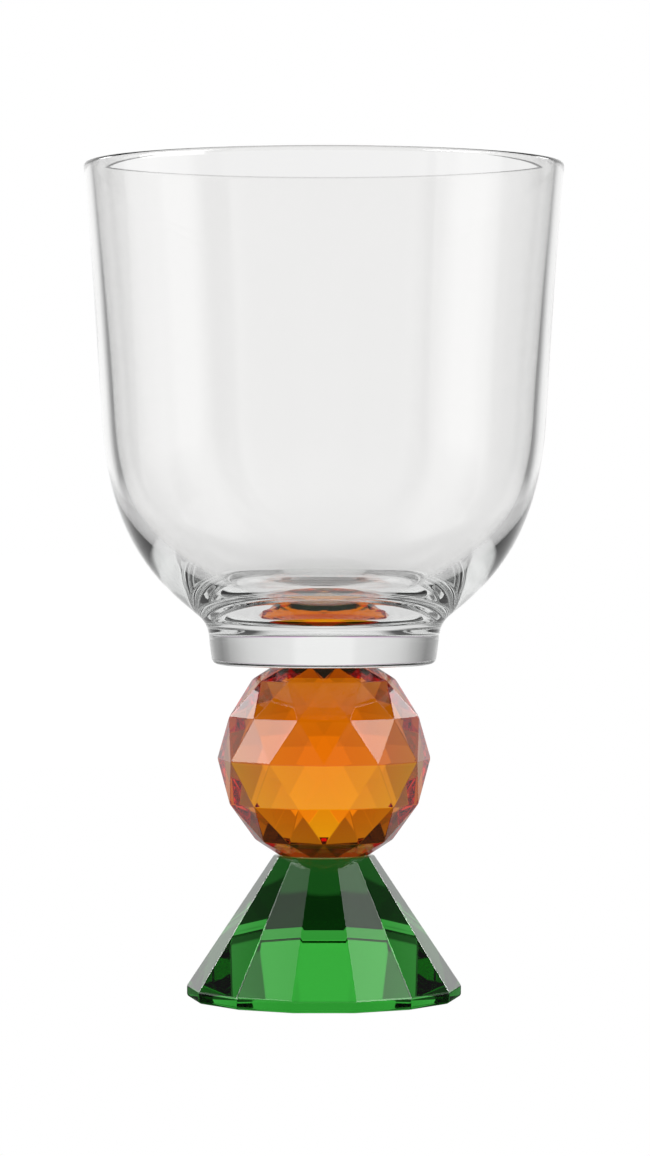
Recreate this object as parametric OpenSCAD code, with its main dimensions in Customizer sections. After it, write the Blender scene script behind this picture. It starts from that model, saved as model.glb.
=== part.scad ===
// Crystal goblet: a clear bowl with a thick base disc stands on a faceted amber ball,
// and the ball on a faceted green foot, each joint held by a thin film of clear bond.
// The origin is at the middle of the foot's underside and Z points up the stem.
// The front, where a foot face and a ball corner look out, is towards -Y.

/* [Green foot] */
// Width across two opposite sides at the base
foot_base_w = 50.5; // [40:0.5:64]
// Width across two opposite sides at the top
foot_top_w = 18.4; // [17:0.2:26]
// Height from the base to the top
foot_h = 26.9; // [16:0.1:40]
// Height of the upright band round the base
foot_band_h = 2.2; // [1.2:0.1:5]
// Bevel along the band's lower edge, in and up alike
foot_bevel = 0.4; // [0.2:0.1:1]
// Number of sides, an even number
foot_sides = 14; // [8:2:20]

/* [Amber ball] */
// Diameter over the widest row of corners
ball_d = 40.2; // [30:0.2:50]
// Diameter over the corners of the flat under the bowl
ball_top_flat_d = 19; // [14:0.2:24]
// Diameter over the corners of the flat on the foot
ball_low_flat_d = 17.4; // [14:0.2:24]
// Number of corners in each row
ball_corners = 12; // [8:1:18]
// Places of the two rows between the widest row and a flat, as shares of the angle
ball_row_shares = [0.38, 0.775];

/* [Clear bowl] */
// Height from the disc's underside to the rim
bowl_h = 94.2; // [80:0.2:110]
// Outside radius at the rim
bowl_rim_r = 45.1; // [42:0.1:52]
// Outside radius where the side leaves the shoulder
bowl_side_r = 41.8; // [36:0.1:46]
// Height at which the side leaves the shoulder
bowl_side_h = 46.4; // [40:0.2:60]
// Thickness of the side where it leaves the shoulder
bowl_wall = 2.4; // [1.6:0.1:3.4]
// Thickness of the side at the rim
bowl_rim_wall = 1.8; // [1.4:0.1:3]
// Radius of the rounding along both edges of the rim
bowl_rim_round = 0.7; // [0.3:0.1:0.7]
// Thickness of solid glass under the middle of the inside floor
bowl_floor_t = 9.6; // [8:0.1:14]
// Radius of the dished inside floor, out to its corner with the side
bowl_floor_r = 18; // [12:0.5:20]
// How far the rounding of that corner reaches both ways
bowl_floor_round = 3; // [1:0.1:5]
// Radius of the base disc above its rounded edge
bowl_disc_r = 21.2; // [19:0.1:24]
// Radius of the base disc where the neck's curve begins
bowl_neck_r = 21.7; // [19:0.1:24]
// Height at which the neck's curve begins
bowl_disc_h = 4.9; // [3:0.1:8]
// Radius of the rounding along the disc's lower edge
bowl_edge_r = 1.3; // [0.4:0.1:2.4]
// Radius of the hollow curve from the disc to the shoulder
bowl_neck_bend_r = 5.4; // [3:0.1:8]

/* [Bond] */
// Thickness of each film of bond
bond_t = 0.1; // [0.05:0.05:0.4]
// How far each film stops short of the narrower face's sides
bond_inset = 0.4; // [0.1:0.1:2]

/* [Hidden] */
$fn = 96;

// Angles of the bowl's side from upright, at the shoulder and at the rim
bowl_side_lean = 3.3;
bowl_rim_lean = 5.2;
// How far the neck's curve turns from upright
bowl_neck_turn = 50;
// Pulls of the shoulder's two ends, as shares of the distance between them
bowl_shoulder_shares = [0.2, 0.59];
bowl_inside_shares = [0.45, 0.35];
// Rise of the inside floor at its corner, from level, and lean of the side above it, from upright
bowl_floor_rise = 14;
bowl_inside_lean = 60;
// Pull of both ends of the rounded corner, as a share of its span
bowl_corner_share = 0.35;
// Pull of both ends of the side, as a share of its length
bowl_side_share = 0.33;
// Number of steps in a long curve and in a short one
long_steps = 24;
short_steps = 8;

// Front corner of the ball and front side of the foot
front_angle = -90;
// How far a cut runs on past the solid it cuts
cut_over = 1;

// Lean of the foot's sides from upright, and their length up the slope
foot_lean = atan2((foot_base_w - foot_top_w) / 2, foot_h - foot_band_h);
foot_slope_l = (foot_h - foot_band_h) / cos(foot_lean);
ball_r = ball_d / 2;
ball_top_angle = acos(ball_top_flat_d / ball_d);
ball_low_angle = acos(ball_low_flat_d / ball_d);
ball_up_h = ball_r * sin(ball_top_angle);
ball_down_h = ball_r * sin(ball_low_angle);

// Stack of the pieces, each on the one below
foot_bond_z = foot_h;
ball_z = foot_bond_z + bond_t + ball_down_h;
bowl_bond_z = ball_z + ball_up_h;
bowl_z = bowl_bond_z + bond_t;

ball_low_flat_w = ball_low_flat_d * cos(180 / ball_corners);
ball_top_flat_w = ball_top_flat_d * cos(180 / ball_corners);
foot_bond_r = min(foot_top_w, ball_low_flat_w) / 2 - bond_inset;
bowl_bond_r = ball_top_flat_w / 2 - bond_inset;

// Point at an angle round a centre
function round_point(centre, r, angle) = centre + r * [cos(angle), sin(angle)];

// Arc of points between two angles, both ends included
function arc(centre, r, from, to) =
    [for (i = [0:short_steps]) round_point(centre, r, from + (to - from) * i / short_steps)];

// Cubic curve through its two ends, pulled by the two points between them
function curve(p, steps) =
    [for (i = [0:steps]) let (t = i / steps, s = 1 - t)
        s * s * s * p[0] + 3 * s * s * t * p[1] + 3 * s * t * t * p[2] + t * t * t * p[3]];

// The same points in the other order
function backwards(points) = [for (i = [len(points) - 1:-1:0]) points[i]];

// Direction that leans outwards from upright
function leaning(angle) = [sin(angle), cos(angle)];

// Curve between two ends with a direction and a pull at each
function blend(a, a_dir, a_pull, b, b_dir, b_pull) =
    curve([a, a + a_pull * a_dir, b - b_pull * b_dir, b], long_steps);

// The bowl's side, drawn in from the outside by a thickness at its foot and one at the rim
function side_line(low_t, rim_t) =
    let (low = [bowl_side_r - low_t, bowl_side_h])
    let (high = [bowl_rim_r - rim_t, bowl_h - bowl_rim_round])
    let (pull = bowl_side_share * norm(high - low))
    blend(low, leaning(bowl_side_lean), pull, high, leaning(bowl_rim_lean), pull);

// Half of the bowl's cross section, from the middle of its underside round to its inside floor
function bowl_outline() =
    let (edge = arc([bowl_disc_r - bowl_edge_r, bowl_edge_r], bowl_edge_r, -90, 0))
    let (bend_centre = [bowl_neck_r + bowl_neck_bend_r, bowl_disc_h])
    let (neck = arc(bend_centre, bowl_neck_bend_r, 180, 180 - bowl_neck_turn))
    let (neck_end = neck[short_steps])
    let (outer_end = [bowl_side_r, bowl_side_h])
    let (reach = norm(outer_end - neck_end))
    let (shoulder = blend(
        neck_end, leaning(bowl_neck_turn), bowl_shoulder_shares[0] * reach,
        outer_end, leaning(bowl_side_lean), bowl_shoulder_shares[1] * reach))
    let (floor_end = floor_point(bowl_floor_r - bowl_floor_round))
    let (floor_way = leaning(90 - floor_rise(floor_end[0])))
    let (inside_way = leaning(bowl_inside_lean))
    let (inside_start = floor_point(bowl_floor_r) + bowl_floor_round * inside_way)
    let (corner_pull = bowl_corner_share * norm(inside_start - floor_end))
    let (corner = blend(floor_end, floor_way, corner_pull, inside_start, inside_way, corner_pull))
    let (inner_end = outer_end - [bowl_wall, 0])
    let (inner_reach = norm(inner_end - inside_start))
    let (inside = blend(
        inside_start, inside_way, bowl_inside_shares[0] * inner_reach,
        inner_end, leaning(bowl_side_lean), bowl_inside_shares[1] * inner_reach))
    let (round_h = bowl_h - bowl_rim_round)
    let (rim_out = arc([bowl_rim_r - bowl_rim_round, round_h], bowl_rim_round, 0, 90))
    let (rim_in = arc([bowl_rim_r - bowl_rim_wall + bowl_rim_round, round_h], bowl_rim_round, 90, 180))
    concat(
        [[0, 0]], edge, neck, trimmed(shoulder), side_line(0, 0), trimmed(concat(rim_out, rim_in)),
        backwards(side_line(bowl_wall, bowl_rim_wall)), trimmed(backwards(inside)), backwards(corner),
        [for (i = [short_steps - 1:-1:0]) floor_point(floor_end[0] * i / short_steps)]);

// Rise of the dished floor from level at a radius, and its point there
function floor_rise(r) = atan(tan(bowl_floor_rise) * r / bowl_floor_r);
function floor_point(r) = [r, bowl_floor_t + tan(bowl_floor_rise) * r * r / bowl_floor_r / 2];

// The same points without the first and the last
function trimmed(points) = [for (i = [1:len(points) - 2]) points[i]];

// Corners of one row: its radius, its height and its turn in steps
function row_points(row, count, first_angle) =
    [for (k = [0:count - 1]) let (angle = first_angle + (k + row[2]) * 360 / count)
        [row[0] * cos(angle), row[0] * sin(angle), row[1]]];

// Faces between row i and the next: flat sides, or triangles where the next row is turned
function row_faces(rows, i, count) =
    let (low = i * count, high = low + count)
    [for (k = [0:count - 1]) let (m = (k + 1) % count)
        each rows[i][2] == rows[i + 1][2]
            ? [[low + k, high + k, high + m, low + m]]
            : rows[i][2] < rows[i + 1][2]
                ? [[low + k, high + k, low + m], [low + m, high + k, high + m]]
                : [[low + k, high + k, high + m], [low + k, high + m, low + m]]];

// Solid cut with flat faces between rows of corners, from the lowest row up
module faceted(rows, count, first_angle) {
    last = len(rows) - 1;
    polyhedron(
        points = [for (row = rows) each row_points(row, count, first_angle)],
        faces = concat(
            [[for (k = [0:count - 1]) k]],
            [for (i = [0:last - 1]) each row_faces(rows, i, count)],
            [[for (k = [count - 1:-1:0]) last * count + k]]));
}

// Radius over the corners of a shape that is w wide across its sides
function corner_r(w, sides) = w / 2 / cos(180 / sides);

// Row of the ball's corners at an angle above or below its widest row
function ball_row(angle, turn) = [ball_r * cos(angle), ball_r * sin(angle), turn];

// Outline with flat sides, w wide across them, one side towards the front
module many_sides(w, sides) {
    points = [for (k = [0:sides - 1])
        round_point([0, 0], corner_r(w, sides), front_angle + (k + 1 / 2) * 360 / sides)];
    polygon(points);
}

// Block whose inner face starts at a point on a side of the foot and leans inwards as it rises
module side_cut(out, up, lean, length) {
    reach = foot_base_w;
    translate([out, 0, up])
        rotate([0, -lean, 0])
            translate([0, -reach / 2, -cut_over])
                cube([reach, reach, length + 2 * cut_over]);
}

module green_foot() {
    half_w = foot_base_w / 2;
    bevel_turn = 45;
    color([0.16, 0.55, 0.2, 0.9])
        difference() {
            linear_extrude(foot_h)
                many_sides(foot_base_w, foot_sides);
            for (k = [0:foot_sides - 1])
                rotate([0, 0, front_angle + k * 360 / foot_sides]) {
                    side_cut(half_w, foot_band_h, foot_lean, foot_slope_l);
                    side_cut(half_w - foot_bevel, 0, -bevel_turn, foot_bevel / cos(bevel_turn));
                }
        }
}

module foot_bond() {
    color([0.9, 0.85, 0.75, 0.6])
        translate([0, 0, foot_bond_z])
            cylinder(h = bond_t, r = foot_bond_r);
}

module amber_ball() {
    rows = [
        ball_row(-ball_low_angle, 0.5),
        ball_row(-ball_low_angle * ball_row_shares[1], 0),
        ball_row(-ball_low_angle * ball_row_shares[0], 0.5),
        ball_row(0, 0),
        ball_row(ball_top_angle * ball_row_shares[0], 0.5),
        ball_row(ball_top_angle * ball_row_shares[1], 0),
        ball_row(ball_top_angle, 0.5)];
    color([0.93, 0.5, 0.08, 0.9])
        translate([0, 0, ball_z])
            faceted(rows, ball_corners, front_angle);
}

module bowl_bond() {
    color([0.95, 0.92, 0.88, 0.6])
        translate([0, 0, bowl_bond_z])
            cylinder(h = bond_t, r = bowl_bond_r);
}

module bowl() {
    color([0.85, 0.9, 0.93, 0.4])
        translate([0, 0, bowl_z])
            rotate_extrude()
                polygon(bowl_outline());
}

bowl();
bowl_bond();
amber_ball();
foot_bond();
green_foot();
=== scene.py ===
import math

import bpy
import numpy as np
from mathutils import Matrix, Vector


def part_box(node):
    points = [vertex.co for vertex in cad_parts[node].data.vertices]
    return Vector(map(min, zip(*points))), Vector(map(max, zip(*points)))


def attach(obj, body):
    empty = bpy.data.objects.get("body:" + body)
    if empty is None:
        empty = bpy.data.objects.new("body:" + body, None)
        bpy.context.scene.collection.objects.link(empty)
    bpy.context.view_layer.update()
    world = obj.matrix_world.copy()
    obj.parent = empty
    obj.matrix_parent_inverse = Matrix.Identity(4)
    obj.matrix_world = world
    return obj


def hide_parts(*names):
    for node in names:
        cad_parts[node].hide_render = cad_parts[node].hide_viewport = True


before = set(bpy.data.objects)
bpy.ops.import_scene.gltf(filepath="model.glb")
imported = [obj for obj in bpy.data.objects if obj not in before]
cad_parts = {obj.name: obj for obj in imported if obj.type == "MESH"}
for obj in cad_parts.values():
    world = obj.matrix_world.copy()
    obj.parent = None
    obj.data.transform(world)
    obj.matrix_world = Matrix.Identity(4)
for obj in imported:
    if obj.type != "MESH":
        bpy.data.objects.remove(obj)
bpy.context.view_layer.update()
print("frame loaded:", sorted(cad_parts))

mm = 0.001
front = -90  # degrees round Z from +X to the camera's side
plainWhite = (1, 1, 1, 1)

# The photograph was taken from straight ahead, a little above the ball: lengths in mm, tilt in degrees
cameraSettings = {
    "distance": 806,
    "height": 100,
    "sideways": 0.19,
    "downTilt": 1.486,
    "lens": 133.3,
    "sensorWidth": 36,
    "clip": (10, 100000),
}


def makeCamera(c):
    data = bpy.data.cameras.new("camera")
    data.lens = c["lens"]
    data.sensor_width = c["sensorWidth"]
    nearest, farthest = c["clip"]
    data.clip_start = nearest * mm
    data.clip_end = farthest * mm
    camera = bpy.data.objects.new("camera", data)
    camera.location = (c["sideways"] * mm, -c["distance"] * mm, c["height"] * mm)
    camera.rotation_euler = (math.radians(90 - c["downTilt"]), 0, 0)
    bpy.context.scene.collection.objects.link(camera)
    bpy.context.scene.camera = camera
    print("camera placed, mm ahead:", c["distance"])


# Curves in the plane of radius and height


def arcPoints(centre, radius, startDegrees, endDegrees, count):
    # centre plus radius times (cosine, sine) of evenly spaced angles
    angle = np.radians(np.linspace(startDegrees, endDegrees, count))
    return np.asarray(centre) + radius * np.stack([np.cos(angle), np.sin(angle)], 1)


def blendPoints(start, startWay, startPull, end, endWay, endPull, count):
    # cubic through both ends: each end is pulled along its own direction
    t = np.linspace(0, 1, count)[:, None]
    a, d = np.asarray(start), np.asarray(end)
    b = a + startPull * np.asarray(startWay)
    c = d - endPull * np.asarray(endWay)
    s = 1 - t
    return s**3 * a + 3 * s**2 * t * b + 3 * s * t**2 * c + t**3 * d


def leaning(degrees):
    # unit direction that leans outwards from upright
    return np.array([math.sin(math.radians(degrees)), math.cos(math.radians(degrees))])


# Meshes


def meshPiece(name, points, faces):
    mesh = bpy.data.meshes.new(name)
    mesh.from_pydata(points, [], faces)
    mesh.polygons.foreach_set("use_smooth", np.ones(len(mesh.polygons), bool))
    mesh.update()
    piece = bpy.data.objects.new(name, mesh)
    bpy.context.scene.collection.objects.link(piece)
    return piece


def revolve(name, outline, segments):
    # each outline point turned round Z, and one point on the axis at both ends
    ring = outline[1:-1]
    k = np.arange(segments)
    nextK = (k + 1) % segments
    angle = k * 2 * np.pi / segments
    x = ring[:, :1] * np.cos(angle)
    y = ring[:, :1] * np.sin(angle)
    z = np.repeat(ring[:, 1:], segments, 1)
    grid = np.stack([x, y, z], -1).reshape(-1, 3)
    ends = np.array([[0, 0, outline[0, 1]], [0, 0, outline[-1, 1]]])
    rows = len(ring)
    low = np.arange(rows - 1)[:, None] * segments
    quads = np.stack([low + k, low + nextK, low + nextK + segments, low + k + segments], -1).reshape(-1, 4)
    firstEnd = np.full(segments, rows * segments)
    last = (rows - 1) * segments
    firstFan = np.stack([firstEnd, nextK, k], 1)
    lastFan = np.stack([firstEnd + 1, last + k, last + nextK], 1)
    faces = quads.tolist() + firstFan.tolist() + lastFan.tolist()
    return meshPiece(name, np.vstack([grid, ends]), faces)


def facetedSolid(name, rows, count):
    # rows of corners round Z, as radius, height and turn, a turn being a share of the step between corners:
    # rows of unlike turn are joined by triangles, and rows of like turn by flat sides
    rows = np.asarray(rows, float)
    k = np.arange(count)
    angle = np.radians(front) + (k + rows[:, 2:]) * 2 * np.pi / count
    x = rows[:, :1] * np.cos(angle)
    y = rows[:, :1] * np.sin(angle)
    z = np.repeat(rows[:, 1:2], count, 1)
    points = np.stack([x, y, z], -1).reshape(-1, 3)
    m = (k + 1) % count
    faces = [k[::-1].tolist(), ((len(rows) - 1) * count + k).tolist()]
    for i in range(len(rows) - 1):
        low = i * count
        high = low + count
        turn = rows[i + 1, 2] - rows[i, 2]
        if turn == 0:
            faces += np.stack([low + k, low + m, high + m, high + k], 1).tolist()
        elif turn > 0:
            faces += np.stack([low + k, low + m, high + k], 1).tolist()
            faces += np.stack([low + m, high + m, high + k], 1).tolist()
        else:
            faces += np.stack([low + k, high + m, high + k], 1).tolist()
            faces += np.stack([low + k, low + m, high + m], 1).tolist()
    return meshPiece(name, points, faces)


# Polished facet edges: rounding segments, and the least angle in degrees that is rounded
edgeSettings = {"segments": 2, "fromAngle": 5}


def bevelEdges(piece, width, e):
    bevel = piece.modifiers.new("softEdges", "BEVEL")
    bevel.width = width
    bevel.segments = e["segments"]
    bevel.limit_method = "ANGLE"
    bevel.angle_limit = math.radians(e["fromAngle"])
    bevel.harden_normals = True


# Shader nodes: a value is a number or another node's output


def mathNode(tree, operation, *values):
    node = tree.nodes.new("ShaderNodeMath")
    node.operation = operation
    for i, value in enumerate(values):
        if isinstance(value, (int, float)):
            node.inputs[i].default_value = value
        else:
            tree.links.new(value, node.inputs[i])
    return node.outputs[0]


def chained(tree, operation, first, *others):
    # one operation over any count of values, from left to right
    for other in others:
        first = mathNode(tree, operation, first, other)
    return first


def vectorNode(tree, operation, vector, other=(0, 0, 0)):
    node = tree.nodes.new("ShaderNodeVectorMath")
    node.operation = operation
    tree.links.new(vector, node.inputs[0])
    node.inputs[1].default_value = other
    return node.outputs


def splitVector(tree, vector):
    node = tree.nodes.new("ShaderNodeSeparateXYZ")
    tree.links.new(vector, node.inputs[0])
    return node.outputs


def objectPoint(tree):
    return tree.nodes.new("ShaderNodeTexCoord").outputs["Object"]


def flatPoint(tree):
    # the point without its height, and its distance from the Z axis
    flat = vectorNode(tree, "MULTIPLY", objectPoint(tree), (1, 1, 0))["Vector"]
    return flat, vectorNode(tree, "LENGTH", flat)["Value"]


def softStep(tree, value, start, end, low=0, high=1):
    # low at the start, high at the end, and a smooth change between them
    node = tree.nodes.new("ShaderNodeMapRange")
    node.interpolation_type = "SMOOTHSTEP"
    tree.links.new(value, node.inputs["Value"])
    node.inputs["From Min"].default_value = start
    node.inputs["From Max"].default_value = end
    node.inputs["To Min"].default_value = low
    node.inputs["To Max"].default_value = high
    return node.outputs["Result"]


def mixColor(tree, share, first, second):
    # the first colour where the share is 0, the second where it is 1
    node = tree.nodes.new("ShaderNodeMix")
    node.data_type = "RGBA"
    tree.links.new(share, node.inputs["Factor"])
    # inputs 6 and 7 and output 2 are the colours: other sockets of this node have the same names
    for socket, value in ((node.inputs[6], first), (node.inputs[7], second)):
        if isinstance(value, tuple):
            socket.default_value = value
        else:
            tree.links.new(value, socket)
    return node.outputs[2]


def newGroup(name, inputs, outputs):
    # a node group whose sockets are given as label and kind
    group = bpy.data.node_groups.new(name, "ShaderNodeTree")
    for label, kind in inputs.items():
        group.interface.new_socket(label, in_out="INPUT", socket_type="NodeSocket" + kind)
    for label, kind in outputs.items():
        group.interface.new_socket(label, in_out="OUTPUT", socket_type="NodeSocket" + kind)
    start = group.nodes.new("NodeGroupInput")
    end = group.nodes.new("NodeGroupOutput")
    return group, start.outputs, end.inputs


def addGroup(tree, group, **values):
    node = tree.nodes.new("ShaderNodeGroup")
    node.node_tree = group
    for label, value in values.items():
        node.inputs[label].default_value = value
    return node


# Glass


def makeBondedFaces():
    # 0 on a level face inside a radius, where bond joins two pieces without an air gap, and 1 elsewhere
    inputs = {"Height": "Float", "Radius": "Float", "Tolerance": "Float"}
    group, given, result = newGroup("bondedFaces", inputs, {"Open": "Float"})
    distance = flatPoint(group)[1]
    height = splitVector(group, objectPoint(group))["Z"]
    away = mathNode(group, "ABSOLUTE", mathNode(group, "SUBTRACT", height, given["Height"]))
    near = mathNode(group, "LESS_THAN", away, given["Tolerance"])
    inside = mathNode(group, "LESS_THAN", distance, given["Radius"])
    joined = mathNode(group, "MULTIPLY", near, inside)
    group.links.new(mathNode(group, "SUBTRACT", 1, joined), result["Open"])
    return group


polishSettings = {
    "waveDetail": 1,
    "patchDetail": 5,
    "patchDistortion": 1.5,
    # the patches' scale as a share of the waves', and the noise values between which a patch comes up
    "patchShare": 0.6,
    "patchRange": (0.52, 0.75),
}


def makePolishMarks(p):
    # what polishing and wiping leave on glass: soft hazy patches, and waves far too shallow to feel
    inputs = {"Scale": "Float", "Haze": "Float"}
    group, given, result = newGroup("polishMarks", inputs, {"Roughness": "Float", "Height": "Float"})
    point = objectPoint(group)
    waves = group.nodes.new("ShaderNodeTexNoise")
    waves.inputs["Detail"].default_value = p["waveDetail"]
    patches = group.nodes.new("ShaderNodeTexNoise")
    patches.inputs["Detail"].default_value = p["patchDetail"]
    patches.inputs["Distortion"].default_value = p["patchDistortion"]
    group.links.new(point, waves.inputs["Vector"])
    group.links.new(point, patches.inputs["Vector"])
    group.links.new(given["Scale"], waves.inputs["Scale"])
    group.links.new(mathNode(group, "MULTIPLY", given["Scale"], p["patchShare"]), patches.inputs["Scale"])
    haze = softStep(group, patches.outputs[0], *p["patchRange"])
    group.links.new(mathNode(group, "MULTIPLY", haze, given["Haze"]), result["Roughness"])
    group.links.new(waves.outputs[0], result["Height"])
    return group


bondedFaces = makeBondedFaces()
polishMarks = makePolishMarks(polishSettings)
joinTolerance = 0.01  # mm above or below a join at which a face still belongs to it


def bondSpan(node):
    # heights of the lower and the upper face of a bond, and its radius
    low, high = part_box(node)
    return low.z, high.z, (high.x - low.x) / 2


def makeGlass(name, g, joins):
    # g gives the surface's colour, the index, and tint and density of the inside, where light fades at a rate
    # per metre of density times (1 - tint), then the polish: marks per metre, the most haze and the depth of
    # its waves in mm. joins lists the level faces that meet bond, as height and radius.
    material = bpy.data.materials.new(name)
    material.use_nodes = True
    tree = material.node_tree
    shader = tree.nodes["Principled BSDF"]
    shader.inputs["Base Color"].default_value = (*g["surface"], 1)
    shader.inputs["IOR"].default_value = g["ior"]
    shader.inputs["Transmission Weight"].default_value = 1
    volume = tree.nodes.new("ShaderNodeVolumeAbsorption")
    volume.inputs["Color"].default_value = (*g["tint"], 1)
    volume.inputs["Density"].default_value = g["density"]
    tree.links.new(volume.outputs["Volume"], tree.nodes["Material Output"].inputs["Volume"])
    faces = [addGroup(tree, bondedFaces, Height=height, Radius=radius, Tolerance=joinTolerance * mm)
             for height, radius in joins]
    away = chained(tree, "MULTIPLY", *[face.outputs["Open"] for face in faces])
    tree.links.new(away, shader.inputs["Alpha"])
    marks = addGroup(tree, polishMarks, Scale=g["markScale"], Haze=g["haze"])
    bump = tree.nodes.new("ShaderNodeBump")
    bump.inputs["Distance"].default_value = g["waveDepth"] * mm
    tree.links.new(marks.outputs["Roughness"], shader.inputs["Roughness"])
    tree.links.new(marks.outputs["Height"], bump.inputs["Height"])
    tree.links.new(bump.outputs["Normal"], shader.inputs["Normal"])
    print("glass made:", name)
    return material


# Bowl: one turned piece from its base disc to its rim. Sizes in mm, leans in degrees from upright.

bowl = {
    "discRadius": 21.2,
    "edgeRadius": 1.3,
    "discHeight": 4.9,
    "neckRadius": 21.7,
    "neckBend": 5.4,
    "neckTurn": 50,
    # the shoulder and the inside swell from lean to lean, pulled at both ends by shares of their length
    "shoulderPulls": (0.2, 0.59),
    "sideRadius": 41.8,
    "sideHeight": 46.4,
    "sideLean": 3.3,
    "sidePull": 0.33,
    "rimRadius": 45.1,
    "rimLean": 5.2,
    "rimRound": 0.85,
    "rimWall": 1.8,
    "wall": 2.4,
    "insideLean": 60,
    "insidePulls": (0.45, 0.35),
    # the dished floor inside: thickness in its middle, and slope in degrees at its edge
    "floorThickness": 9.6,
    "floorRadius": 18,
    "floorRise": 14,
    "floorRound": 3,
    "cornerPull": 0.35,
    # points along each stretch of the outline, and segments round it
    "points": {"edge": 12, "neck": 16, "shoulder": 64, "side": 32, "rim": 9, "corner": 14, "floor": 20},
    "segments": 192,
    "glass": {
        "surface": (0.968, 0.966, 0.963),
        "ior": 1.52,
        "tint": (0.5, 0.6, 0.55),
        "density": 2,
        "markScale": 60,
        "haze": 0.02,
        "waveDepth": 0.008,
    },
}


def sidePoints(b, height, lowWall, rimWall):
    # the side as it leans from shoulder to rim, drawn in by a wall at both ends
    low = np.array([b["sideRadius"] - lowWall, b["sideHeight"]])
    high = np.array([b["rimRadius"] - rimWall, height - b["rimRound"]])
    pull = b["sidePull"] * np.linalg.norm(high - low)
    count = b["points"]["side"]
    return blendPoints(low, leaning(b["sideLean"]), pull, high, leaning(b["rimLean"]), pull, count)


def outsidePoints(b, height):
    # from the middle of the underside round the disc and the neck, up the shoulder and the side
    count = b["points"]
    edgeRound = b["edgeRadius"]
    edge = arcPoints([b["discRadius"] - edgeRound, edgeRound], edgeRound, -90, 0, count["edge"])
    bend = [b["neckRadius"] + b["neckBend"], b["discHeight"]]
    neck = arcPoints(bend, b["neckBend"], 180, 180 - b["neckTurn"], count["neck"])
    end = np.array([b["sideRadius"], b["sideHeight"]])
    pulls = np.array(b["shoulderPulls"]) * np.linalg.norm(end - neck[-1])
    shoulder = blendPoints(neck[-1], leaning(b["neckTurn"]), pulls[0],
                           end, leaning(b["sideLean"]), pulls[1], count["shoulder"])
    underside = [[0, 0], [b["discRadius"] / 2, 0]]
    return np.vstack([underside, edge, neck, shoulder[1:], sidePoints(b, height, 0, 0)[1:]])


def insidePoints(b, height):
    # from the middle of the floor round its corner, up the inside of the shoulder and the side
    count = b["points"]
    # dished floor: height = middle thickness + slope at the edge * radius squared / (2 * floor radius)
    steep = math.tan(math.radians(b["floorRise"])) / b["floorRadius"]
    across = np.linspace(0, b["floorRadius"] - b["floorRound"], count["floor"])
    floor = np.stack([across, b["floorThickness"] + steep * across**2 / 2], 1)
    floorWay = leaning(90 - math.degrees(math.atan(steep * across[-1])))
    insideWay = leaning(b["insideLean"])
    corner = np.array([b["floorRadius"], b["floorThickness"] + steep * b["floorRadius"]**2 / 2])
    start = corner + b["floorRound"] * insideWay
    pull = b["cornerPull"] * np.linalg.norm(start - floor[-1])
    turn = blendPoints(floor[-1], floorWay, pull, start, insideWay, pull, count["corner"])
    end = np.array([b["sideRadius"] - b["wall"], b["sideHeight"]])
    pulls = np.array(b["insidePulls"]) * np.linalg.norm(end - start)
    shoulder = blendPoints(start, insideWay, pulls[0],
                           end, leaning(b["sideLean"]), pulls[1], count["shoulder"])
    side = sidePoints(b, height, b["wall"], b["rimWall"])
    return np.vstack([floor[:-1], turn[:-1], shoulder[:-1], side])


def rimPoints(b, height):
    # two quarter turns, with a flat between them where the wall is thicker than both
    radius = b["rimRound"]
    level = height - radius
    outer = [b["rimRadius"] - radius, level]
    inner = [b["rimRadius"] - b["rimWall"] + radius, level]
    count = b["points"]["rim"]
    return np.vstack([arcPoints(outer, radius, 0, 90, count), arcPoints(inner, radius, 90, 180, count)])


def makeBowl(b):
    low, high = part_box("bowl")
    height = (high.z - low.z) / mm
    inside = insidePoints(b, height)[::-1]
    outline = np.vstack([outsidePoints(b, height), rimPoints(b, height)[1:-1], inside]) * mm
    outline[:, 1] += low.z
    piece = revolve("clearBowl", outline, b["segments"])
    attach(piece, "root")
    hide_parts("bowl")
    _, join, radius = bondSpan("bowl_bond")
    piece.data.materials.append(makeGlass("clearGlass", b["glass"], [(join, radius)]))
    print("bowl made:", len(piece.data.vertices), "points")


# Ball: rows of corners that turn by half a step from row to row. Flats and edge rounding in mm.

ball = {
    "topFlat": 19.0,
    "lowFlat": 17.4,
    "corners": 12,
    # the rows between the middle and a flat, as shares of the angle between them
    "rowShares": (0.38, 0.775),
    "edge": 0.18,
    "glass": {
        "surface": (1, 1, 1),
        "ior": 1.54,
        "tint": (0.993, 0.845, 0.15),
        "density": 200,
        "markScale": 90,
        "haze": 0.012,
        "waveDepth": 0.002,
    },
    # painted shade: colour of the upper half, and of both ends past a share of the radius, darker than the
    # glass itself
    "aboveShadeColor": (0.84, 0.38, 0.2, 1),
    "endShadeColor": (0.5, 0.1, 0.04, 1),
    "endShadeShare": 0.79,
}


def makePaintedBallShade():
    # painted shade: white, but one shade colour above the middle height, and another further from it than the
    # edge distance
    inputs = {"Middle": "Float", "Edge": "Float", "Above": "Color", "Ends": "Color"}
    group, given, result = newGroup("paintedBallShade", inputs, {"Color": "Color"})
    rise = mathNode(group, "SUBTRACT", splitVector(group, objectPoint(group))["Z"], given["Middle"])
    # painted shade above the middle height, and darker painted shade on both ends
    shadedAbove = mathNode(group, "GREATER_THAN", rise, 0)
    ends = mathNode(group, "GREATER_THAN", mathNode(group, "ABSOLUTE", rise), given["Edge"])
    half = mixColor(group, shadedAbove, plainWhite, given["Above"])
    group.links.new(mixColor(group, ends, half, given["Ends"]), result["Color"])
    return group


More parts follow.
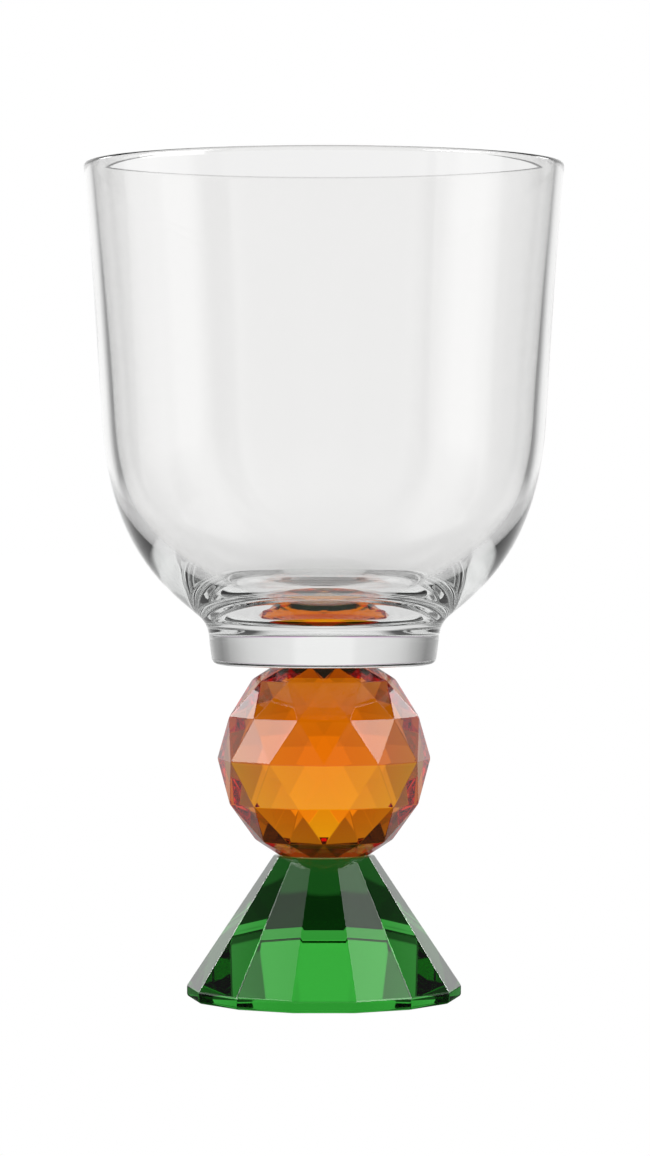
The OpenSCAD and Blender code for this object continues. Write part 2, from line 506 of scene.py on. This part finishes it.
def paintBallShade(material, b, middle, radius):
    # painted shade: a ray takes the shade colour of the face that it enters by, and none where it leaves
    tree = material.node_tree
    ballShade = addGroup(tree, makePaintedBallShade(), Middle=middle, Edge=b["endShadeShare"] * radius,
                    Above=b["aboveShadeColor"], Ends=b["endShadeColor"])
    inside = tree.nodes.new("ShaderNodeNewGeometry").outputs["Backfacing"]
    color = mixColor(tree, inside, ballShade.outputs["Color"], plainWhite)
    tree.links.new(color, tree.nodes["Principled BSDF"].inputs["Base Color"])


def makeBall(b):
    low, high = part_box("amber_ball")
    radius = (high.x - low.x) / 2
    topAngle = math.acos(b["topFlat"] * mm / 2 / radius)
    lowAngle = math.acos(b["lowFlat"] * mm / 2 / radius)
    centre = low.z + radius * math.sin(lowAngle)
    near, far = b["rowShares"]
    angles = [(-lowAngle, 0.5), (-lowAngle * far, 0), (-lowAngle * near, 0.5), (0, 0),
              (topAngle * near, 0.5), (topAngle * far, 0), (topAngle, 0.5)]
    rows = [(radius * math.cos(angle), centre + radius * math.sin(angle), turn) for angle, turn in angles]
    piece = facetedSolid("amberBall", rows, b["corners"])
    bevelEdges(piece, b["edge"] * mm, edgeSettings)
    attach(piece, "root")
    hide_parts("amber_ball")
    topJoin, _, topRadius = bondSpan("bowl_bond")
    _, lowJoin, lowRadius = bondSpan("foot_bond")
    glass = makeGlass("amberGlass", b["glass"], [(topJoin, topRadius), (lowJoin, lowRadius)])
    # paints shade into the ball's colour by height
    paintBallShade(glass, b, (low.z + high.z) / 2, radius)
    piece.data.materials.append(glass)
    print("ball made:", len(piece.data.polygons), "facets")


# Foot: sloping sides over an upright band, bevelled below. Widths and heights in mm.

foot = {
    "topWidth": 18.4,
    "band": 2.2,
    "bevel": 0.4,
    "sides": 14,
    "edge": 0.26,
    "glass": {
        "surface": (1, 1, 1),
        "ior": 1.54,
        "tint": (0.16, 0.78, 0.2),
        "density": 80,
        "markScale": 90,
        "haze": 0.012,
        "waveDepth": 0.002,
    },
}


def makeFoot(f):
    low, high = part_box("green_foot")
    corner = (high.x - low.x) / 2
    # a corner lies further out than the middle of a side
    reach = 1 / math.cos(math.pi / f["sides"])
    top = f["topWidth"] / 2 * mm * reach
    bevel = f["bevel"] * mm
    # every row is turned by half a step, which brings a side to the front
    rows = [(corner - bevel * reach, low.z, 0.5), (corner, low.z + bevel, 0.5),
            (corner, low.z + f["band"] * mm, 0.5), (top, high.z, 0.5)]
    piece = facetedSolid("greenFoot", rows, f["sides"])
    bevelEdges(piece, f["edge"] * mm, edgeSettings)
    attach(piece, "root")
    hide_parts("green_foot")
    join, _, radius = bondSpan("foot_bond")
    piece.data.materials.append(makeGlass("greenGlass", f["glass"], [(join, radius)]))
    print("foot made:", f["sides"], "sides")


# Bonds: two thin films, each sunk a little into the glass above and below it. Overlap in mm.

bond = {
    "overlap": 0.03,
    "segments": 96,
    "glass": {
        "surface": (1, 1, 1),
        "ior": 1.5,
        "tint": (0.9, 0.85, 0.7),
        "density": 20,
        "markScale": 300,
        "haze": 0.1,
        "waveDepth": 0.01,
    },
}


def makeBond(name, node, b, glass):
    low, high, radius = bondSpan(node)
    over = b["overlap"] * mm
    outline = np.array([[0, low - over], [radius, low - over], [radius, high + over], [0, high + over]])
    piece = revolve(name, outline, b["segments"])
    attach(piece, "root")
    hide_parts(node)
    piece.data.materials.append(glass)
    print("bond made:", name)


def makeBondGlass(b):
    # both faces of both films are joined over their whole width
    over = b["overlap"] * mm
    joins = []
    for node in ("bowl_bond", "foot_bond"):
        low, high, radius = bondSpan(node)
        joins += [(high + over, 2 * radius), (low - over, 2 * radius)]
    return makeGlass("bondClear", b["glass"], joins)


# Studio: what the glass mirrors and bends, by direction in degrees. Azimuth 0 is the camera's side, 180 the
# backdrop. A level of 1 is white.

studio = {
    # brightness round the object near eye level, as azimuth and level
    "ring": [
        (-180, 1), (-165, 1.05), (-152, 1), (-142, 0.95), (-111.2, 0.85), (-110, 1.4), (-92, 1.3), (-66, 0.9),
        (-60, 0.35), (-50, 0.2), (0, 0.22), (10, 0.24), (40, 0.26), (53.5, 0.4), (54.5, 1.1), (80, 1.1),
        (93.5, 0.95), (94.7, 0.5), (113, 0.9), (140, 0.9), (150, 0.95), (165, 1), (180, 1),
    ],
    # softboxes that outside faces mirror: azimuth, half width, bottom and top elevation, level
    "boxes": [
        (-78, 20, 2, 32, 5.3), (66, 16, 13, 32, 5), (-82, 22, 28, 42, 4.2), (82, 22, 28, 42, 4.6),
        (-70, 7, 46, 56, 0.9), (70, 7, 46, 56, 1.9),
        (-138, 5, 14, 22, 8), (138, 5, 14, 22, 8),
    ],
    # a softbox fades over this much at its sides and its bottom, and over its fall at the top
    "boxSoft": 2,
    "boxFall": 7,
    # what outside faces mirror of the ring fades with elevation, and light comes from straight above
    "mirrorFade": (12, 34),
    "mirrorTop": 0.02,
    "zenith": (66, 80),
    "zenithLevel": 0.8,
    # what rays mirrored inside a piece see: more softboxes, and a share of the ring by azimuth to both sides
    "innerBoxes": [(110, 25, 30, 52, 0.8), (-110, 25, 30, 52, 0.8)],
    "innerShares": [
        (0, 2.2), (49, 2.2), (52, 0.25), (64, 0.25), (70, 0.9), (92, 0.8), (100, 0.5), (118, 0.38),
        (130, 0.1), (147, 0.1), (157, 0.8), (180, 1),
    ],
    "innerFade": (38, 70),
    "innerTop": 0.12,
    # what rays see that were bent but never mirrored, by azimuth to both sides
    "through": [
        (0, 0.9), (60, 0.8), (90, 0.66), (112, 0.28), (126, 0.22), (140, 0.5), (150, 0.7), (162, 0.83),
        (168.5, 0.87), (171, 0.96), (180, 0.96),
    ],
    "throughFade": (23, 39),
    "throughTop": 0.06,
    # the backdrop narrows above this elevation, by a share per degree
    "narrowFrom": 15,
    "narrowShare": 0.05,
    # a warm surround for rays bent by one piece, above the backdrop and to both sides of its middle
    "warmRise": (15, 22),
    "warmTurn": (177, 171),
    "warmColor": (1.1, 0.79, 1.1, 1),
    # rays that crossed both sides of the bowl, or four surfaces, see white near eye level
    "bowlCrossings": 4,
    "bowlTilt": (18, 9),
    "bowlLevel": 1,
}


def levelRamp(tree, degrees, places):
    # level by angle along a ramp from the first place to the last, where a level may pass 1
    ramp = tree.nodes.new("ShaderNodeValToRGB")
    stops = ramp.color_ramp.elements
    first = places[0][0]
    span = places[-1][0] - first
    brightest = max(level for _, level in places)
    for number, (place, level) in enumerate(places):
        where = (place - first) / span
        if number < len(stops):
            stop = stops[number]
            stop.position = where
        else:
            stop = stops.new(where)
        grey = level / brightest
        stop.color = (grey, grey, grey, 1)
    share = mathNode(tree, "MULTIPLY_ADD", degrees, 1 / span, -first / span)
    tree.links.new(share, ramp.inputs["Fac"])
    return mathNode(tree, "MULTIPLY", ramp.outputs["Color"], brightest)


def brightestBox(group, s, key, azimuth, elevation):
    # the brightest softbox in a direction, each the product of its rise, its fall and its width
    soft = s["boxSoft"]
    brightest = 0
    for middle, halfWidth, low, top, level in s[key]:
        away = mathNode(group, "ABSOLUTE", mathNode(group, "SUBTRACT", azimuth, middle))
        across = softStep(group, away, halfWidth + soft, halfWidth - soft)
        rise = softStep(group, elevation, low - soft, low + soft)
        fall = softStep(group, elevation, top, top + s["boxFall"], level, 0)
        brightest = mathNode(group, "MAXIMUM", brightest, chained(group, "MULTIPLY", rise, fall, across))
    return brightest


def throughLevel(group, s, elevation, turn):
    # widening the offset from the backdrop's middle narrows the backdrop as it rises
    above = mathNode(group, "MAXIMUM", mathNode(group, "SUBTRACT", elevation, s["narrowFrom"]), 0)
    widen = mathNode(group, "MULTIPLY_ADD", above, s["narrowShare"], 1)
    offset = mathNode(group, "MULTIPLY", mathNode(group, "SUBTRACT", 180, turn), widen)
    level = levelRamp(group, mathNode(group, "SUBTRACT", 180, offset), s["through"])
    fade = softStep(group, elevation, *s["throughFade"], 1, s["throughTop"])
    return mathNode(group, "MULTIPLY", level, fade)


def makeStudioLevel(s):
    # brightness by direction for each kind of ray, and the direction's elevation
    outputs = ("Inner", "Mirrored", "Softboxes", "Through", "Warmth", "Elevation")
    group, given, result = newGroup("studioLevel", {"Direction": "Vector"}, dict.fromkeys(outputs, "Float"))
    x, y, z = splitVector(group, vectorNode(group, "NORMALIZE", given["Direction"])["Vector"])
    ahead = mathNode(group, "MULTIPLY", y, -1)
    azimuth = mathNode(group, "DEGREES", mathNode(group, "ARCTAN2", x, ahead))
    elevation = mathNode(group, "DEGREES", mathNode(group, "ARCSINE", z))
    turn = mathNode(group, "ABSOLUTE", azimuth)
    ring = levelRamp(group, azimuth, s["ring"])
    shares = levelRamp(group, turn, s["innerShares"])
    fade = softStep(group, elevation, *s["innerFade"], 1, s["innerTop"])
    inner = chained(group, "MULTIPLY", ring, shares, fade)
    boxes = brightestBox(group, s, "innerBoxes", azimuth, elevation)
    fade = softStep(group, elevation, *s["mirrorFade"], 1, s["mirrorTop"])
    zenith = softStep(group, elevation, *s["zenith"], 0, s["zenithLevel"])
    rise = softStep(group, elevation, *s["warmRise"])
    levels = {
        "Inner": mathNode(group, "MAXIMUM", inner, boxes),
        "Mirrored": mathNode(group, "MULTIPLY_ADD", ring, fade, zenith),
        "Softboxes": brightestBox(group, s, "boxes", azimuth, elevation),
        "Through": throughLevel(group, s, elevation, turn),
        "Warmth": mathNode(group, "MULTIPLY", rise, softStep(group, turn, *s["warmTurn"])),
        "Elevation": elevation,
    }
    for name, level in levels.items():
        group.links.new(level, result[name])
    return group


def rayMasks(tree, s):
    # 1 for rays straight from the camera, never inside glass, bent but never mirrored, mirrored inside glass,
    # and through both sides of the bowl: half a crossing or mirroring lies between none and one
    path = tree.nodes.new("ShaderNodeLightPath")
    crossings = path.outputs["Transmission Depth"]
    outside = mathNode(tree, "LESS_THAN", crossings, 0.5)
    unmirrored = mathNode(tree, "LESS_THAN", path.outputs["Glossy Depth"], 0.5)
    bent = mathNode(tree, "MULTIPLY", unmirrored, path.outputs["Is Transmission Ray"])
    return {
        "camera": path.outputs["Is Camera Ray"],
        "outside": outside,
        "bent": bent,
        "inside": mathNode(tree, "SUBTRACT", 1, mathNode(tree, "ADD", bent, outside)),
        "bowl": mathNode(tree, "GREATER_THAN", crossings, s["bowlCrossings"] - 0.5),
    }


def seenThrough(tree, s, level, masks):
    # the surround of bent rays, and white near eye level for those through both sides of the bowl
    tilt = mathNode(tree, "ABSOLUTE", level.outputs["Elevation"])
    nearLevel = softStep(tree, tilt, *s["bowlTilt"], 0, s["bowlLevel"])
    bowlWhite = mathNode(tree, "MULTIPLY", masks["bowl"], nearLevel)
    seen = mathNode(tree, "MAXIMUM", level.outputs["Through"], bowlWhite)
    return mathNode(tree, "MULTIPLY", seen, masks["bent"])


def makeWorld(s, studioLevel):
    world = bpy.data.worlds.new("studio")
    bpy.context.scene.world = world
    world.use_nodes = True
    tree = world.node_tree
    tree.nodes.clear()
    coords = tree.nodes.new("ShaderNodeTexCoord")
    level = addGroup(tree, studioLevel)
    tree.links.new(coords.outputs["Generated"], level.inputs["Direction"])
    masks = rayMasks(tree, s)
    mirrored = mathNode(tree, "MAXIMUM", level.outputs["Mirrored"], level.outputs["Softboxes"])
    mirrored = mathNode(tree, "MULTIPLY", mirrored, masks["outside"])
    inner = mathNode(tree, "MULTIPLY", level.outputs["Inner"], masks["inside"])
    shown = chained(tree, "MAXIMUM", mirrored, inner, seenThrough(tree, s, level, masks))
    onePiece = mathNode(tree, "MAXIMUM", mathNode(tree, "SUBTRACT", masks["bent"], masks["bowl"]), 0)
    warm = mathNode(tree, "MULTIPLY", level.outputs["Warmth"], onePiece)
    studioLight = tree.nodes.new("ShaderNodeBackground")
    tree.links.new(mixColor(tree, warm, plainWhite, s["warmColor"]), studioLight.inputs["Color"])
    tree.links.new(shown, studioLight.inputs["Strength"])
    backdrop = tree.nodes.new("ShaderNodeBackground")
    backdrop.inputs["Color"].default_value = plainWhite
    mix = tree.nodes.new("ShaderNodeMixShader")
    tree.links.new(masks["camera"], mix.inputs[0])
    tree.links.new(studioLight.outputs[0], mix.inputs[1])
    tree.links.new(backdrop.outputs[0], mix.inputs[2])
    output = tree.nodes.new("ShaderNodeOutputWorld")
    tree.links.new(mix.outputs[0], output.inputs["Surface"])
    print("studio lit:", len(s["boxes"]), "softboxes outside,", len(s["innerBoxes"]), "inside")


# Floor: white to the camera. A pair of radii in mm gives where a change starts and ends.

floorSettings = {
    "halfSize": 4000,
    "drop": 0.3,
    # lit through the foot in the middle, dark under its rim, then clear of its shadow
    "litRadius": (18.5, 17),
    "litLevel": 0.17,
    "rimRadius": (25, 27.5),
    "shadowLevel": 0.05,
    # what outside faces mirror: dark near the foot, then even, then the brightness of the studio behind it
    "shadow": (40, 66),
    "nearRadius": (150, 700),
    "nearLevel": 0.48,
    # what rays mirrored inside a piece see near the foot: a level in front, and one behind the object
    "backSide": (-5, 15),
    "innerLevels": (0.35, 0.8),
    # what bent rays see is dimmer near the foot
    "dim": (60, 420),
    "dimLevel": 0.72,
}


def makeFloor(f, s, studioLevel):
    half = f["halfSize"] * mm
    height = -f["drop"] * mm
    mesh = bpy.data.meshes.new("floor")
    corners = [(-half, -half, height), (half, -half, height), (half, half, height), (-half, half, height)]
    mesh.from_pydata(corners, [], [(0, 1, 2, 3)])
    floor = bpy.data.objects.new("floor", mesh)
    bpy.context.scene.collection.objects.link(floor)
    material = bpy.data.materials.new("paleFloor")
    material.use_nodes = True
    tree = material.node_tree
    tree.nodes.clear()
    flat, radius = flatPoint(tree)
    level = addGroup(tree, studioLevel)
    tree.links.new(flat, level.inputs["Direction"])
    masks = rayMasks(tree, s)

    def step(key, value, low=0, high=1):
        start, end = f[key]
        return softStep(tree, value, start * mm, end * mm, low, high)

    away = step("nearRadius", radius)
    near = mathNode(tree, "SUBTRACT", 1, away)
    far = mathNode(tree, "MULTIPLY", level.outputs["Mirrored"], away)
    table = mathNode(tree, "MULTIPLY_ADD", near, f["nearLevel"], far)
    mirrored = chained(tree, "MULTIPLY", table, masks["outside"], step("shadow", radius))
    ahead, behind = f["innerLevels"]
    nearInner = step("backSide", splitVector(tree, flat)["Y"], ahead, behind)
    far = mathNode(tree, "MULTIPLY", level.outputs["Inner"], away)
    inner = mathNode(tree, "MULTIPLY_ADD", near, nearInner, far)
    inner = mathNode(tree, "MULTIPLY", inner, masks["inside"])
    dim = step("dim", radius, f["dimLevel"])
    seen = mathNode(tree, "MULTIPLY", seenThrough(tree, s, level, masks), dim)
    brightest = chained(tree, "MAXIMUM", mirrored, inner, seen)
    shown = mathNode(tree, "MULTIPLY", brightest, step("rimRadius", radius))
    lit = step("litRadius", radius, 0, f["litLevel"])
    light = tree.nodes.new("ShaderNodeEmission")
    emitted = chained(tree, "MAXIMUM", shown, f["shadowLevel"], lit, masks["camera"])
    tree.links.new(emitted, light.inputs["Strength"])
    output = tree.nodes.new("ShaderNodeOutputMaterial")
    tree.links.new(light.outputs[0], output.inputs["Surface"])
    mesh.materials.append(material)
    print("floor laid, mm below the foot:", f["drop"])


# How often a ray may turn before it ends, and how often it may be bent, mirrored or pass a joined face
rayLimits = {"all": 24, "bent": 24, "mirrored": 16, "passed": 16}


def setUpRays(r):
    cycles = bpy.context.scene.cycles
    cycles.max_bounces = r["all"]
    cycles.transmission_bounces = r["bent"]
    cycles.glossy_bounces = r["mirrored"]
    cycles.transparent_max_bounces = r["passed"]
    cycles.caustics_reflective = True
    cycles.caustics_refractive = True
    print("rays set:", r["all"], "turns at most")


makeCamera(cameraSettings)
studioLevel = makeStudioLevel(studio)
makeWorld(studio, studioLevel)
makeFloor(floorSettings, studio, studioLevel)
makeBowl(bowl)
makeBall(ball)
makeFoot(foot)
bondGlass = makeBondGlass(bond)
makeBond("bowlBond", "bowl_bond", bond, bondGlass)
makeBond("footBond", "foot_bond", bond, bondGlass)
setUpRays(rayLimits)
bpy.context.scene.view_settings.view_transform = "Standard"
